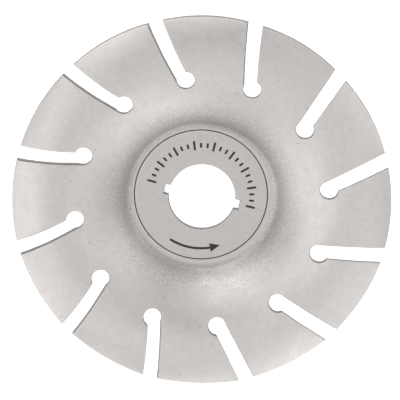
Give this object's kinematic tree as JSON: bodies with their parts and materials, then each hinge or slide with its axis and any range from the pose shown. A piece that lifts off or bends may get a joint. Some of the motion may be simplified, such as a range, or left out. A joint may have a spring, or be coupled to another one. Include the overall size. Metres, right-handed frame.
{
  "type": "angle grinder carving disc",
  "caption": "Dished spring-steel wood carving disc for a 125 mm angle grinder, with slotted cutting teeth around its rim and a keyed arbor bore.",
  "frame": {"origin": "on the bore's axis, in the plane of the hub's working face", "axes": "+Z along the bore axis, out of the working face, away from the grinder; +X and +Y in the hub's plane"},
  "size_m": [0.125, 0.125, 0.0143],
  "materials": {
    "spring_steel": "satin, bead blasted",
    "laser_mark": "matt dark oxide"
  },
  "bodies": {
    "root": {"disc": "spring_steel", "ring_mark": "laser_mark", "tick_marks": "laser_mark", "turn_arrow": "laser_mark"}
  },
  "joints": []
}
